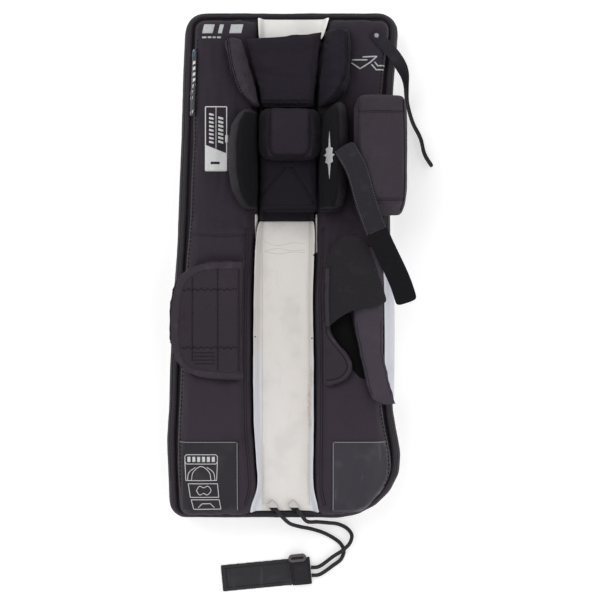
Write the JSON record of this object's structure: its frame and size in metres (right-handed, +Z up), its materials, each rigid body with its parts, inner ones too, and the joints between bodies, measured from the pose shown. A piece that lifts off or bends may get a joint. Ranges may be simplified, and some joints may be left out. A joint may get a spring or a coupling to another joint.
{
  "type": "goalie leg pad",
  "caption": "Flat-faced foam leg pad lying face down, with long padded risers, a lined leg channel, a knee cradle and block, calf flaps, straps and a toe cord.",
  "frame": {"origin": "middle of the flat front face, on the surface that the pad lies on", "axes": "+Z up, out of the leg side; +Y along the pad towards the thigh end; +X towards the medial side, where the knee block is"},
  "size_m": [0.3378, 0.7328, 0.1426],
  "materials": {
    "white_leather": "smooth white synthetic leather",
    "channel_lining": "smooth white synthetic leather, a little worn",
    "body_nylon": "plain woven nylon",
    "binding": "ribbed binding tape",
    "pad_nylon": "plain woven nylon over foam",
    "cradle_nylon": "brushed knit over foam",
    "knee_nylon": "fine woven nylon over foam",
    "flap_nylon": "quilted nylon over foam",
    "webbing": "woven strap with a hook-and-loop end",
    "elastic": "ribbed elastic",
    "boot_leather": "grained synthetic leather",
    "cord_braid": "braided cord",
    "hook_plastic": "moulded",
    "tag_ribbon": "woven ribbon",
    "rivet_metal": "dull"
  },
  "bodies": {
    "root": {"front_face": "white_leather", "core": "body_nylon", "back_bead": "binding", "riser_outer": "pad_nylon", "riser_medial": "pad_nylon", "gusset_medial": "white_leather", "ribbon_tag": "tag_ribbon", "boot_patch_outer": "boot_leather", "boot_patch_medial": "boot_leather", "channel_lining": "channel_lining", "knee_lining": "body_nylon", "top_panel": "channel_lining", "cradle_floor": "cradle_nylon", "cradle_wing_outer": "cradle_nylon", "cradle_wing_medial": "cradle_nylon", "knee_tongue": "knee_nylon", "knee_block": "knee_nylon", "thigh_panel": "cradle_nylon", "thigh_wing_outer": "pad_nylon", "thigh_wing_medial": "pad_nylon", "calf_flap_outer": "flap_nylon", "calf_flap_medial": "flap_nylon", "calf_strip_medial": "flap_nylon", "elastic_band": "elastic", "knee_strap": "webbing", "thigh_strap": "webbing", "strap_rivet": "rivet_metal", "toe_anchor_outer": "webbing", "toe_anchor_medial": "webbing", "cord_outer": "cord_braid", "cord_medial": "cord_braid", "toe_strap": "boot_leather", "toe_hook": "hook_plastic"}
  },
  "joints": []
}
